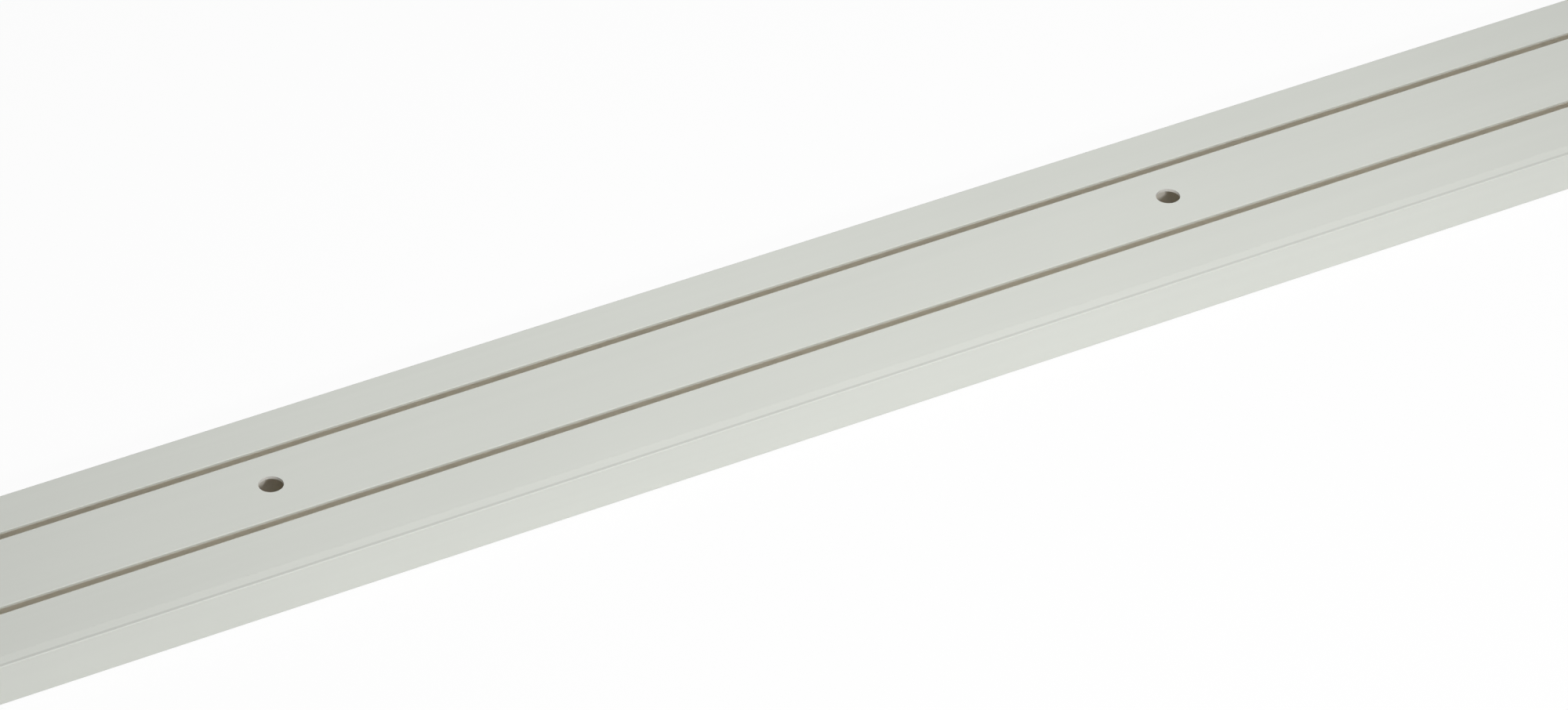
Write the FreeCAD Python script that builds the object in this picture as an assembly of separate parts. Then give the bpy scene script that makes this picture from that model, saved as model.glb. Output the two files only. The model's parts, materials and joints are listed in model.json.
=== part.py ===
"""Two-channel curtain track: one hollow section extruded in white PVC and sawn square at both ends.

Millimetres. X runs along the track, -Y points out of the front edge and +Z out of the slotted face,
so the track lies on its back, the face that goes against the ceiling. The origin is the middle of
that back face. Across its width the section is a row of cells, from the rear edge to the front:
a closed rear chamber, the rear channel, a closed centre chamber that takes the screws, the front
channel and a closed front chamber. Each channel is open along a slot in the middle of its face.
"""

import FreeCAD
import Part

import math
import os

from FreeCAD import Vector

# Length and height of the extrusion
TRACK_LENGTH = 1200.0
TRACK_HEIGHT = 13.3

# Walls
FACE_WALL = 0.9
BACK_WALL = 1.0
SIDE_WALL = 1.0
WEB_WALL = 0.9

# Clear widths of the cells
REAR_CHAMBER_WIDTH = 9.2
CHANNEL_WIDTH = 12.0
CENTRE_CHAMBER_WIDTH = 17.5
FRONT_CHAMBER_WIDTH = 15.3

# Slot that a glider's neck hangs through
SLOT_WIDTH = 3.0

# Roundings of the section
OUTER_EDGE_RADIUS = 0.35
LIP_EDGE_RADIUS = 0.2
INNER_CORNER_RADIUS = 0.5

# Shallow valley in the face that sets off a narrow bead along the front edge
BEAD_WIDTH = 0.45
VALLEY_RISE_WIDTH = 1.1
VALLEY_SLOPE_WIDTH = 2.8
VALLEY_DEPTH = 0.32
VALLEY_BLEND_RADIUS = 1.8

# Stepped screw holes: the head passes the face and seats inside, on the back wall
HOLE_PITCH = 300.0
HEAD_HOLE_DIAMETER = 7.4
SHANK_HOLE_DIAMETER = 4.5
HOLE_SHIFT_TO_REAR = 0.7

# Share of a wall that the rounding on each of its two edges may use up
ROUNDING_SHARE = 0.45

# How far a drill runs past the wall that it cuts
DRILL_OVERRUN = 1.0

SECTION_WIDTH = (
    2 * SIDE_WALL
    + REAR_CHAMBER_WIDTH
    + CENTRE_CHAMBER_WIDTH
    + FRONT_CHAMBER_WIDTH
    + 2 * CHANNEL_WIDTH
    + 4 * WEB_WALL
)
REAR_SIDE = SECTION_WIDTH / 2
FRONT_SIDE = -SECTION_WIDTH / 2
FACE_UNDERSIDE = TRACK_HEIGHT - FACE_WALL

# Edges of the cells across the width, each as (rear edge, front edge)
REAR_CHAMBER = (REAR_SIDE - SIDE_WALL, REAR_SIDE - SIDE_WALL - REAR_CHAMBER_WIDTH)
REAR_CHANNEL = (REAR_CHAMBER[1] - WEB_WALL, REAR_CHAMBER[1] - WEB_WALL - CHANNEL_WIDTH)
CENTRE_CHAMBER = (REAR_CHANNEL[1] - WEB_WALL, REAR_CHANNEL[1] - WEB_WALL - CENTRE_CHAMBER_WIDTH)
FRONT_CHANNEL = (CENTRE_CHAMBER[1] - WEB_WALL, CENTRE_CHAMBER[1] - WEB_WALL - CHANNEL_WIDTH)
FRONT_CHAMBER = (FRONT_CHANNEL[1] - WEB_WALL, FRONT_SIDE + SIDE_WALL)

# Lines along the face: the rear of the bead, the bottom of the valley and where its slope starts
BEAD_REAR = FRONT_SIDE + BEAD_WIDTH
VALLEY_BOTTOM = BEAD_REAR + VALLEY_RISE_WIDTH
VALLEY_START = VALLEY_BOTTOM + VALLEY_SLOPE_WIDTH


def within_wall(radius, wall):
    """The radius, or the most that a wall rounded on both edges has room for."""
    return min(radius, ROUNDING_SHARE * wall)


def rounded_wire(corners):
    """A closed wire in the plane of the near end, through (y, z, radius) corners with tangent arcs."""
    points = [Vector(-TRACK_LENGTH / 2, y, z) for y, z, _ in corners]
    starts, arcs, ends = [], [], []
    for i, (corner, (_, _, radius)) in enumerate(zip(points, corners)):
        arriving = (corner - points[i - 1]).normalize()
        leaving = (points[(i + 1) % len(points)] - corner).normalize()
        half_turn = arriving.getAngle(leaving) / 2
        setback = radius * math.tan(half_turn)
        start = corner - arriving * setback
        end = corner + leaving * setback
        to_centre = (leaving - arriving).normalize()
        middle = corner + to_centre * (radius / math.cos(half_turn) - radius)
        starts.append(start)
        arcs.append(Part.Arc(start, middle, end).toShape())
        ends.append(end)
    edges = []
    for i, arc in enumerate(arcs):
        edges.append(arc)
        edges.append(Part.LineSegment(ends[i], starts[(i + 1) % len(starts)]).toShape())
    return Part.Wire(edges)


def channel_corners(channel):
    """Outline of a channel and its slot, from the slot's rear edge in the face to its front edge."""
    rear, front = channel
    slot_rear = (rear + front) / 2 + SLOT_WIDTH / 2
    slot_front = (rear + front) / 2 - SLOT_WIDTH / 2
    lip = within_wall(LIP_EDGE_RADIUS, FACE_WALL)
    return [
        (slot_rear, TRACK_HEIGHT, lip),
        (slot_rear, FACE_UNDERSIDE, lip),
        (rear, FACE_UNDERSIDE, INNER_CORNER_RADIUS),
        (rear, BACK_WALL, INNER_CORNER_RADIUS),
        (front, BACK_WALL, INNER_CORNER_RADIUS),
        (front, FACE_UNDERSIDE, INNER_CORNER_RADIUS),
        (slot_front, FACE_UNDERSIDE, lip),
        (slot_front, TRACK_HEIGHT, lip),
    ]


def front_edge_corners():
    """The valley and the bead at the front of the face, then the front side."""
    bead = within_wall(OUTER_EDGE_RADIUS, BEAD_WIDTH)
    return [
        (VALLEY_START, TRACK_HEIGHT, VALLEY_BLEND_RADIUS),
        (VALLEY_BOTTOM, TRACK_HEIGHT - VALLEY_DEPTH, VALLEY_BLEND_RADIUS),
        (BEAD_REAR, TRACK_HEIGHT, bead),
        (FRONT_SIDE, TRACK_HEIGHT, bead),
        (FRONT_SIDE, 0.0, OUTER_EDGE_RADIUS),
    ]


def outer_wire():
    """The whole outline of the section, in and out of both channels."""
    rear_corners = [
        (REAR_SIDE, 0.0, OUTER_EDGE_RADIUS),
        (REAR_SIDE, TRACK_HEIGHT, OUTER_EDGE_RADIUS),
    ]
    return rounded_wire(
        rear_corners
        + channel_corners(REAR_CHANNEL)
        + channel_corners(FRONT_CHANNEL)
        + front_edge_corners()
    )


def chamber_corners(chamber):
    """The inside of a closed chamber with a level roof."""
    rear, front = chamber
    return [
        (rear, BACK_WALL, INNER_CORNER_RADIUS),
        (rear, FACE_UNDERSIDE, INNER_CORNER_RADIUS),
        (front, FACE_UNDERSIDE, INNER_CORNER_RADIUS),
        (front, BACK_WALL, INNER_CORNER_RADIUS),
    ]


def front_chamber_corners():
    """The inside of the front chamber, its roof let down under the valley so the face stays as thick."""
    rear, front = FRONT_CHAMBER
    return [
        (rear, BACK_WALL, INNER_CORNER_RADIUS),
        (rear, FACE_UNDERSIDE, INNER_CORNER_RADIUS),
        (VALLEY_START, FACE_UNDERSIDE, VALLEY_BLEND_RADIUS),
        (front, FACE_UNDERSIDE - VALLEY_DEPTH, INNER_CORNER_RADIUS),
        (front, BACK_WALL, INNER_CORNER_RADIUS),
    ]


def section_face():
    """The section that the die gives, as one face with the closed chambers cut out."""
    face = Part.Face(outer_wire())
    level = [chamber_corners(chamber) for chamber in (REAR_CHAMBER, CENTRE_CHAMBER)]
    for corners in [*level, front_chamber_corners()]:
        face = face.cut(Part.Face(rounded_wire(corners)))
    return face


def hole_places():
    """X of each screw hole: a pitch apart about the middle, and half a pitch or more from the ends."""
    count = max(1, int(TRACK_LENGTH // HOLE_PITCH))
    first = -HOLE_PITCH * (count - 1) / 2
    return [first + HOLE_PITCH * i for i in range(count)]


def screw_hole(x):
    """A stepped drill: the head's width through the face, the shank's width through the back wall."""
    y = sum(CENTRE_CHAMBER) / 2 + HOLE_SHIFT_TO_REAR
    shank = Part.makeCylinder(
        SHANK_HOLE_DIAMETER / 2, BACK_WALL + 2 * DRILL_OVERRUN, Vector(x, y, -DRILL_OVERRUN)
    )
    head = Part.makeCylinder(
        HEAD_HOLE_DIAMETER / 2,
        FACE_WALL + 2 * DRILL_OVERRUN,
        Vector(x, y, FACE_UNDERSIDE - DRILL_OVERRUN),
    )
    return [shank, head]


def track():
    """The extrusion, with its row of screw holes drilled."""
    solid = section_face().extrude(Vector(TRACK_LENGTH, 0, 0))
    drills = [drill for x in hole_places() for drill in screw_hole(x)]
    return solid.cut(drills)


def main():
    os.makedirs("parts", exist_ok=True)
    shape = track()
    solids = shape.Solids
    print("solids", len(solids), "valid", shape.isValid(), "volume mm3", round(shape.Volume, 1))
    print("section width", round(SECTION_WIDTH, 3), "hole places", hole_places())
    solids[0].exportStep("parts/track_profile.step")


main()
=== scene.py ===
"""Looks of the curtain track: a hollow two-channel section in satin white PVC, lying on its back."""

import json
import math

import bmesh
import bpy
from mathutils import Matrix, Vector


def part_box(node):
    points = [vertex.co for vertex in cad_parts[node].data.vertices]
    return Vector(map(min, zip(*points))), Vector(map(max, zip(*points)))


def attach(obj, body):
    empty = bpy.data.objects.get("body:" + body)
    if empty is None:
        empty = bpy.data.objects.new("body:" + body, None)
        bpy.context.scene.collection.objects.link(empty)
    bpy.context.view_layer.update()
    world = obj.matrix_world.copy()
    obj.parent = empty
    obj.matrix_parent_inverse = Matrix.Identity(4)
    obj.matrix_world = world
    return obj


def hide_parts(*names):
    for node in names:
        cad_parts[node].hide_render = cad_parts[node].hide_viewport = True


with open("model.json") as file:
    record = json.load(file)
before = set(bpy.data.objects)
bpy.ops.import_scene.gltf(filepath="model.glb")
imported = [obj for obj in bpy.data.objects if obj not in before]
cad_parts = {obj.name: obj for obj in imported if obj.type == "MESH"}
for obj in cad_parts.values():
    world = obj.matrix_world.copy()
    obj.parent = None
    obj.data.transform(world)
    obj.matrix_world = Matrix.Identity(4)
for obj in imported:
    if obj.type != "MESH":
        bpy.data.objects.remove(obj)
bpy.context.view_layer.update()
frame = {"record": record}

NODE = "track_profile"
MM = 0.001

# Overall size, from the frame
LOW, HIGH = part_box(NODE)
FACE_Z = HIGH.z
FRONT_Y = LOW.y
REAR_Y = HIGH.y

# Walls and cells of the section
FACE_WALL = 0.9 * MM
BACK_WALL = 1.0 * MM
SIDE_WALL = 1.0 * MM
WEB_WALL = 0.9 * MM
REAR_CHAMBER_WIDTH = 9.2 * MM
CHANNEL_WIDTH = 12.0 * MM
CENTRE_CHAMBER_WIDTH = 17.5 * MM
SLOT_WIDTH = 3.0 * MM

# Edges of the cells across the width, each as (rear edge, front edge)
REAR_CHAMBER = (REAR_Y - SIDE_WALL, REAR_Y - SIDE_WALL - REAR_CHAMBER_WIDTH)
REAR_CHANNEL = (REAR_CHAMBER[1] - WEB_WALL, REAR_CHAMBER[1] - WEB_WALL - CHANNEL_WIDTH)
CENTRE_CHAMBER = (REAR_CHANNEL[1] - WEB_WALL, REAR_CHANNEL[1] - WEB_WALL - CENTRE_CHAMBER_WIDTH)
FRONT_CHANNEL = (CENTRE_CHAMBER[1] - WEB_WALL, CENTRE_CHAMBER[1] - WEB_WALL - CHANNEL_WIDTH)
FRONT_CHAMBER = (FRONT_CHANNEL[1] - WEB_WALL, FRONT_Y + SIDE_WALL)
FACE_UNDERSIDE = FACE_Z - FACE_WALL
FACE_MIDDLE = FACE_Z - FACE_WALL / 2
BACK_INSIDE = LOW.z + BACK_WALL

# Roundings of the section
OUTER_EDGE_RADIUS = 0.35 * MM
LIP_EDGE_RADIUS = 0.2 * MM
INNER_CORNER_RADIUS = 0.5 * MM

# Shallow valley in the face, behind the bead along the front edge
BEAD_WIDTH = 0.45 * MM
VALLEY_RISE_WIDTH = 1.1 * MM
VALLEY_SLOPE_WIDTH = 2.8 * MM
VALLEY_DEPTH = 0.32 * MM
VALLEY_BLEND_RADIUS = 1.8 * MM
BEAD_EDGE_RADIUS = 0.2 * MM

# Lines along the face: the rear of the bead, the bottom of the valley and where its slope starts
BEAD_REAR = FRONT_Y + BEAD_WIDTH
VALLEY_BOTTOM = BEAD_REAR + VALLEY_RISE_WIDTH
VALLEY_START = VALLEY_BOTTOM + VALLEY_SLOPE_WIDTH

# Screw holes: the shank holes' places come from the frame, the head holes share their axes
HEAD_HOLE_RADIUS = 3.7 * MM
HOLE_SIDES = 96
DRILL_OVERRUN = 0.6 * MM

# Largest turn between two facets of a rounding, and the least turn at an edge that shows sharp
ARC_STEP = math.radians(10)
SHARP_ANGLE = math.radians(40)

# How near points lie to count as one, and a face's middle to a limit to count as on it
MERGE_DISTANCE = 0.0001 * MM
ZONE_MARGIN = 0.05 * MM

# Places of the materials in the track's list; the channel and chamber materials carry painted light on the
# inside walls
OUTSIDE, PAINTED_LIGHT_CHANNEL, PAINTED_LIGHT_CHAMBER, SAWN = range(4)

# Camera: the point on the face that the middle of the picture shows, and the way from there
AIM = Vector((9.2 * MM, -11.7 * MM, FACE_Z))
CAMERA_AZIMUTH = math.radians(-28.359)
CAMERA_ELEVATION = math.radians(36.831)
CAMERA_DISTANCE = 2.0827
LENS_MM = 162.41
SENSOR_MM = 36.0

# Colours of the plastic: the outside, the inside walls of the channels and chambers, and the sawn ends
OUTSIDE_COLOUR = (0.70, 0.718, 0.668)
# Painted light: the channel walls are lighter and a little warmer than the outside, standing in for light
# that comes through the walls and bounces inside
PAINTED_LIGHT_CHANNEL_COLOUR = (0.915, 0.897, 0.85)
# Painted light: the chamber walls are lighter and warmer still, standing in for light that comes through the
# walls and bounces inside
PAINTED_LIGHT_CHAMBER_COLOUR = (0.955, 0.925, 0.855)
SAWN_COLOUR = (0.74, 0.738, 0.69)

# Surface of the plastic: how rough and refracting it is, and how deep its marks are
OUTSIDE_ROUGHNESS = 0.40
INSIDE_ROUGHNESS = 0.45
PVC_IOR = 1.53
INSIDE_RELIEF_SHARE = 0.2
DIE_LINE_DEPTH = 0.0015 * MM
PEEL_DEPTH = 0.004 * MM
SAW_MARK_DEPTH = 0.03 * MM
GRAIN_DEPTH = 0.01 * MM

# Cells per metre of the surface's noises along X, Y and Z
DIE_LINES = (4, 2600, 2600)
STREAKS = (2.5, 420, 420)
PEEL = (700, 900, 900)
DRIFT = (14, 30, 30)
SAW_MARKS = (300, 120, 2400)
GRAIN = (1800, 1800, 1800)

# Lamps: name, azimuth and elevation in degrees, distance, width and height in metres, watts
LAMPS = [
    ("overhead", 0, 80, 0.65, 0.6, 0.5, 2.75),
    ("key", -1, 30, 1.1, 0.12, 0.12, 3.8),
]
LAMP_AIM = Vector((75 * MM, 0, FACE_Z))
WORLD_STRENGTH = 0.276
LIGHT_BOUNCES = 16

# Floor: its gap below the track, its reach from the middle, what it reflects and how white it shows
FLOOR_GAP = 0.05 * MM
FLOOR_REACH = 6.0
FLOOR_ALBEDO = 0.9
FLOOR_WHITE_SHARE = 0.92


def direction(azimuth, elevation):
    """Unit vector from the track towards a viewer or a lamp. Azimuth 0 looks along +Y."""
    flat = math.cos(elevation)
    return Vector((math.sin(azimuth) * flat, -math.cos(azimuth) * flat, math.sin(elevation)))


def rounded_loop(corners):
    """Points of a closed outline in (y, z), through (y, z, radius) corners with tangent arcs."""
    points = [Vector((y, z)) for y, z, _ in corners]
    loop = []
    for i, (corner, (_, _, radius)) in enumerate(zip(points, corners)):
        arriving = (corner - points[i - 1]).normalized()
        leaving = (points[(i + 1) % len(points)] - corner).normalized()
        turn = arriving.angle_signed(leaving)
        setback = radius * math.tan(abs(turn) / 2)
        start = corner - arriving * setback
        to_centre = (leaving - arriving).normalized()
        centre = corner + to_centre * (radius / math.cos(turn / 2))
        steps = max(1, math.ceil(abs(turn) / ARC_STEP))
        spoke = start - centre
        for k in range(steps + 1):
            angle = -turn * k / steps
            cos, sin = math.cos(angle), math.sin(angle)
            loop.append(centre + Vector((spoke.x * cos - spoke.y * sin, spoke.x * sin + spoke.y * cos)))
    return loop


def channel_corners(channel):
    """Outline of a channel and its slot, from the slot's rear edge in the face to its front edge."""
    rear, front = channel
    slot_rear = (rear + front + SLOT_WIDTH) / 2
    slot_front = slot_rear - SLOT_WIDTH
    return [
        (slot_rear, FACE_Z, LIP_EDGE_RADIUS),
        (slot_rear, FACE_UNDERSIDE, LIP_EDGE_RADIUS),
        (rear, FACE_UNDERSIDE, INNER_CORNER_RADIUS),
        (rear, BACK_INSIDE, INNER_CORNER_RADIUS),
        (front, BACK_INSIDE, INNER_CORNER_RADIUS),
        (front, FACE_UNDERSIDE, INNER_CORNER_RADIUS),
        (slot_front, FACE_UNDERSIDE, LIP_EDGE_RADIUS),
        (slot_front, FACE_Z, LIP_EDGE_RADIUS),
    ]


def chamber_corners(chamber):
    """Inside of a closed chamber with a level roof."""
    rear, front = chamber
    return [
        (rear, BACK_INSIDE, INNER_CORNER_RADIUS),
        (rear, FACE_UNDERSIDE, INNER_CORNER_RADIUS),
        (front, FACE_UNDERSIDE, INNER_CORNER_RADIUS),
        (front, BACK_INSIDE, INNER_CORNER_RADIUS),
    ]


def front_chamber_corners():
    """Inside of the front chamber, its roof let down under the valley so the face stays as thick."""
    rear, front = FRONT_CHAMBER
    return [
        (rear, BACK_INSIDE, INNER_CORNER_RADIUS),
        (rear, FACE_UNDERSIDE, INNER_CORNER_RADIUS),
        (VALLEY_START, FACE_UNDERSIDE, VALLEY_BLEND_RADIUS),
        (front, FACE_UNDERSIDE - VALLEY_DEPTH, INNER_CORNER_RADIUS),
        (front, BACK_INSIDE, INNER_CORNER_RADIUS),
    ]


def section_loops():
    """The section's outline, in and out of both channels, and the three closed chambers."""
    outline = [(REAR_Y, LOW.z, OUTER_EDGE_RADIUS), (REAR_Y, FACE_Z, OUTER_EDGE_RADIUS)]
    outline += channel_corners(REAR_CHANNEL)
    outline += channel_corners(FRONT_CHANNEL)
    outline += [
        (VALLEY_START, FACE_Z, VALLEY_BLEND_RADIUS),
        (VALLEY_BOTTOM, FACE_Z - VALLEY_DEPTH, VALLEY_BLEND_RADIUS),
        (BEAD_REAR, FACE_Z, BEAD_EDGE_RADIUS),
        (FRONT_Y, FACE_Z, BEAD_EDGE_RADIUS),
        (FRONT_Y, LOW.z, OUTER_EDGE_RADIUS),
    ]
    chambers = [chamber_corners(REAR_CHAMBER), chamber_corners(CENTRE_CHAMBER), front_chamber_corners()]
    return [rounded_loop(corners) for corners in [outline, *chambers]]


def new_object(name, data):
    made = bpy.data.objects.new(name, data)
    bpy.context.scene.collection.objects.link(made)
    return made


def between(value, ends):
    """Whether a value lies between two ends or within a hair of either."""
    return min(ends) - ZONE_MARGIN < value < max(ends) + ZONE_MARGIN


def zone(face):
    """The material of a face, by where its middle lies in the section; faces inside the channels and
    chambers get the materials with painted light.
    """
    centre = face.calc_center_median()
    if not LOW.x + ZONE_MARGIN < centre.x < HIGH.x - ZONE_MARGIN:
        return SAWN
    if not BACK_INSIDE - ZONE_MARGIN < centre.z < FACE_MIDDLE - ZONE_MARGIN:
        return OUTSIDE
    if any(between(centre.y, cell) for cell in (REAR_CHAMBER, CENTRE_CHAMBER, FRONT_CHAMBER)):
        return PAINTED_LIGHT_CHAMBER
    if any(between(centre.y, cell) for cell in (REAR_CHANNEL, FRONT_CHANNEL)):
        return PAINTED_LIGHT_CHANNEL
    return OUTSIDE


def extruded_section():
    """A mesh of the section, filled at one end and drawn along to the other."""
    mesh = bpy.data.meshes.new("section")
    bm = bmesh.new()
    edges = []
    for loop in section_loops():
        ring = [bm.verts.new((LOW.x, p.x, p.y)) for p in loop]
        edges += [bm.edges.new((ring[i - 1], ring[i])) for i in range(len(ring))]
    bmesh.ops.remove_doubles(bm, verts=bm.verts[:], dist=MERGE_DISTANCE)
    bmesh.ops.triangle_fill(bm, use_beauty=True, edges=bm.edges[:])
    drawn = bmesh.ops.extrude_face_region(bm, geom=bm.faces[:], use_keep_orig=True)
    moved = [v for v in drawn["geom"] if isinstance(v, bmesh.types.BMVert)]
    bmesh.ops.translate(bm, verts=moved, vec=(HIGH.x - LOW.x, 0, 0))
    bmesh.ops.recalc_face_normals(bm, faces=bm.faces[:])
    for face in bm.faces:
        face.material_index = zone(face)
    bm.to_mesh(mesh)
    bm.free()
    return mesh


def hole_axes():
    """(x, y, shank radius) of every screw hole, from the frame's two pairs."""
    axes = []
    for mount in frame["record"]["mounts"]:
        if mount["kind"] == "bolt_pattern":
            x, y, _ = mount["pos_m"]
            half = mount["dims"]["spacing_x_mm"] * MM / 2
            radius = mount["dims"]["hole_r_mm"] * MM
            axes += [(x - half, y, radius), (x + half, y, radius)]
    return sorted(axes)


def drills():
    """One mesh with a cylinder for each drilled hole: shank holes below, head holes above."""
    mesh = bpy.data.meshes.new("drills")
    bm = bmesh.new()
    for x, y, shank_radius in hole_axes():
        spans = [
            (shank_radius, LOW.z - DRILL_OVERRUN, BACK_INSIDE + DRILL_OVERRUN),
            (HEAD_HOLE_RADIUS, FACE_UNDERSIDE - DRILL_OVERRUN, FACE_Z + DRILL_OVERRUN),
        ]
        for radius, bottom, top in spans:
            made = bmesh.ops.create_cone(
                bm, cap_ends=True, segments=HOLE_SIDES, radius1=radius, radius2=radius, depth=top - bottom
            )
            bmesh.ops.translate(bm, verts=made["verts"], vec=(x, y, (bottom + top) / 2))
    # The hole walls take the channel material, painted lighter than the outside to stand in for light that
    # comes through the walls and bounces inside
    for face in bm.faces:
        face.material_index = PAINTED_LIGHT_CHANNEL
    bm.to_mesh(mesh)
    bm.free()
    return mesh


def track():
    """The track: the drawn section with its holes drilled, shaded smooth over its roundings only."""
    section = extruded_section()
    # The channel and chamber materials are lighter than the outside: painted light that comes through the
    # walls and bounces inside
    for material in (
        pvc("pvc_outside", OUTSIDE_COLOUR, OUTSIDE_ROUGHNESS, 1),
        pvc("pvc_channel_painted_light", PAINTED_LIGHT_CHANNEL_COLOUR, INSIDE_ROUGHNESS, INSIDE_RELIEF_SHARE),
        pvc("pvc_chamber_painted_light", PAINTED_LIGHT_CHAMBER_COLOUR, INSIDE_ROUGHNESS, INSIDE_RELIEF_SHARE),
        sawn_pvc("pvc_sawn", SAWN_COLOUR),
    ):
        section.materials.append(material)
    blank = new_object("blank", section)
    cutter = new_object("cutter", drills())
    cut = blank.modifiers.new("drilled", "BOOLEAN")
    cut.operation = "DIFFERENCE"
    cut.solver = "EXACT"
    cut.object = cutter
    graph = bpy.context.evaluated_depsgraph_get()
    mesh = bpy.data.meshes.new_from_object(blank.evaluated_get(graph))
    mesh.name = "track"
    for scrap in (blank, cutter):
        bpy.data.objects.remove(scrap)
    mesh.shade_smooth()
    mesh.set_sharp_from_angle(angle=SHARP_ANGLE)
    piece = new_object("curtain_track", mesh)
    weighted = piece.modifiers.new("flat_walls", "WEIGHTED_NORMAL")
    weighted.keep_sharp = True
    weighted.weight = 100
    return piece


class Nodes:
    """Short ways to add and link the nodes of one material."""

    def __init__(self, name):
        self.material = bpy.data.materials.new(name)
        self.material.use_nodes = True
        self.tree = self.material.node_tree
        self.shader = self.tree.nodes["Principled BSDF"]
        self.place = self.tree.nodes.new("ShaderNodeTexCoord").outputs["Object"]

    def add(self, kind, links=(), **values):
        """A node with its properties set and its inputs linked, as (input, output) pairs."""
        node = self.tree.nodes.new(kind)
        for key, value in values.items():
            setattr(node, key, value)
        for target, output in links:
            self.tree.links.new(output, node.inputs[target])
        return node

    def noise(self, per_metre, detail):
        """Soft noise whose cells are 1 / per_metre long along X, Y and Z."""
        scaled = self.add("ShaderNodeMapping", [("Vector", self.place)])
        scaled.inputs["Scale"].default_value = per_metre
        made = self.add("ShaderNodeTexNoise", [("Vector", scaled.outputs[0])])
        made.inputs["Scale"].default_value = 1
        made.inputs["Detail"].default_value = detail
        return made.outputs["Fac"]

    def spread(self, value, low, high):
        """The middle half of a noise, spread over low to high."""
        made = self.add("ShaderNodeMapRange", [("Value", value)])
        made.inputs["From Min"].default_value = 0.25
        made.inputs["From Max"].default_value = 0.75
        made.inputs["To Min"].default_value = low
        made.inputs["To Max"].default_value = high
        return made.outputs[0]

    def product(self, first, second):
        made = self.add("ShaderNodeMath", [(0, first), (1, second)], operation="MULTIPLY")
        return made.outputs[0]

    def bump(self, height, metres, below=None):
        links = [("Height", height)]
        if below is not None:
            links.append(("Normal", below))
        made = self.add("ShaderNodeBump", links)
        made.inputs["Strength"].default_value = 1
        made.inputs["Distance"].default_value = metres
        return made.outputs[0]

    def tinted(self, colour, value):
        """The colour times a value that differs over the surface."""
        made = self.add("ShaderNodeVectorMath", [("Scale", value)], operation="SCALE")
        made.inputs[0].default_value = colour
        return made.outputs[0]

    def finish(self, **inputs):
        for key, output in inputs.items():
            self.tree.links.new(output, self.shader.inputs[key.replace("_", " ")])
        self.shader.inputs["IOR"].default_value = PVC_IOR
        return self.material


def pvc(name, colour, roughness, relief_share):
    """Extruded PVC: long die lines, a fine orange peel, and a tone that drifts a little along the track."""
    nodes = Nodes(name)
    lines = nodes.noise(DIE_LINES, 2)
    streaks = nodes.noise(STREAKS, 2)
    peel = nodes.noise(PEEL, 2)
    drift = nodes.noise(DRIFT, 2)
    tone = nodes.product(nodes.spread(drift, 0.988, 1.012), nodes.spread(streaks, 0.992, 1.008))
    gloss = nodes.product(nodes.spread(streaks, 0.92, 1.08), nodes.spread(lines, 0.94, 1.06))
    rough = nodes.add("ShaderNodeMath", [(0, gloss)], operation="MULTIPLY")
    rough.inputs[1].default_value = roughness
    peeled = nodes.bump(peel, relief_share * PEEL_DEPTH)
    relief = nodes.bump(lines, relief_share * DIE_LINE_DEPTH, peeled)
    return nodes.finish(Base_Color=nodes.tinted(colour, tone), Roughness=rough.outputs[0], Normal=relief)


def sawn_pvc(name, colour):
    """A sawn end: straight tooth marks across the wall, rougher and a little whiter than the drawn faces."""
    nodes = Nodes(name)
    marks = nodes.noise(SAW_MARKS, 3)
    grain = nodes.noise(GRAIN, 3)
    tone = nodes.product(nodes.spread(marks, 0.95, 1.04), nodes.spread(grain, 0.97, 1.03))
    relief = nodes.bump(marks, SAW_MARK_DEPTH, nodes.bump(grain, GRAIN_DEPTH))
    rough = nodes.spread(marks, 0.6, 0.8)
    return nodes.finish(Base_Color=nodes.tinted(colour, tone), Roughness=rough, Normal=relief)


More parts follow.
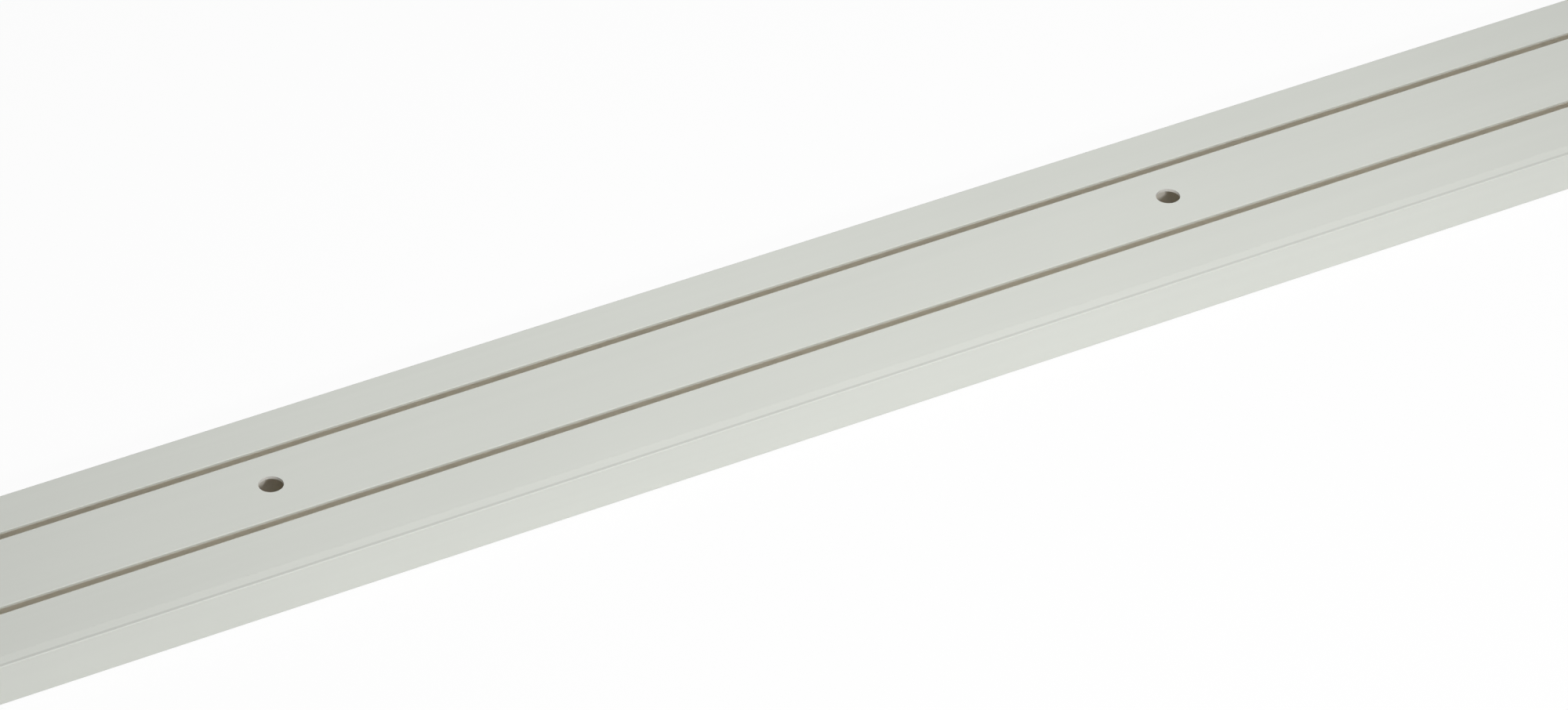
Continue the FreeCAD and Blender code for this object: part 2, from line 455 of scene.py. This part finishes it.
def floor():
    """A wide pale floor that the camera sees as white, with the track's shadow kept."""
    mesh = bpy.data.meshes.new("floor")
    bm = bmesh.new()
    bmesh.ops.create_grid(bm, x_segments=1, y_segments=1, size=FLOOR_REACH)
    bm.to_mesh(mesh)
    bm.free()
    made = new_object("floor", mesh)
    made.location.z = LOW.z - FLOOR_GAP
    material = bpy.data.materials.new("floor_white")
    material.use_nodes = True
    tree = material.node_tree
    tree.nodes.remove(tree.nodes["Principled BSDF"])
    diffuse = tree.nodes.new("ShaderNodeBsdfDiffuse")
    diffuse.inputs["Color"].default_value = (FLOOR_ALBEDO, FLOOR_ALBEDO, FLOOR_ALBEDO, 1)
    glow = tree.nodes.new("ShaderNodeEmission")
    path = tree.nodes.new("ShaderNodeLightPath")
    seen = path.outputs["Is Camera Ray"]
    for ray in ("Is Glossy Ray", "Is Transmission Ray"):
        either = tree.nodes.new("ShaderNodeMath")
        either.operation = "MAXIMUM"
        tree.links.new(seen, either.inputs[0])
        tree.links.new(path.outputs[ray], either.inputs[1])
        seen = either.outputs[0]
    share = tree.nodes.new("ShaderNodeMath")
    share.operation = "MULTIPLY"
    share.inputs[1].default_value = FLOOR_WHITE_SHARE
    mix = tree.nodes.new("ShaderNodeMixShader")
    tree.links.new(seen, share.inputs[0])
    tree.links.new(share.outputs[0], mix.inputs["Fac"])
    tree.links.new(diffuse.outputs[0], mix.inputs[1])
    tree.links.new(glow.outputs[0], mix.inputs[2])
    tree.links.new(mix.outputs[0], tree.nodes["Material Output"].inputs["Surface"])
    mesh.materials.append(material)


def studio():
    """Soft white light from all round, a softbox overhead and a small key in front."""
    scene = bpy.context.scene
    scene.view_settings.view_transform = "Standard"
    scene.cycles.diffuse_bounces = LIGHT_BOUNCES
    scene.cycles.max_bounces = LIGHT_BOUNCES
    world = bpy.data.worlds.new("studio")
    world.use_nodes = True
    sky = world.node_tree.nodes["Background"]
    sky.inputs["Color"].default_value = (1, 1, 1, 1)
    sky.inputs["Strength"].default_value = WORLD_STRENGTH
    scene.world = world
    for name, azimuth, elevation, distance, width, height, watts in LAMPS:
        lamp = bpy.data.lights.new(name, "AREA")
        lamp.shape = "RECTANGLE"
        lamp.size = width
        lamp.size_y = height
        lamp.energy = watts
        made = new_object(name, lamp)
        towards = direction(math.radians(azimuth), math.radians(elevation))
        made.location = LAMP_AIM + towards * distance
        made.rotation_euler = towards.to_track_quat("Z", "Y").to_euler()


def camera():
    data = bpy.data.cameras.new("camera")
    data.lens = LENS_MM
    data.sensor_width = SENSOR_MM
    data.sensor_fit = "HORIZONTAL"
    made = new_object("camera", data)
    back = direction(CAMERA_AZIMUTH, CAMERA_ELEVATION)
    made.location = AIM + back * CAMERA_DISTANCE
    made.rotation_euler = back.to_track_quat("Z", "Y").to_euler()
    bpy.context.scene.camera = made


piece = track()
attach(piece, "root")
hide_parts(NODE)
floor()
studio()
camera()
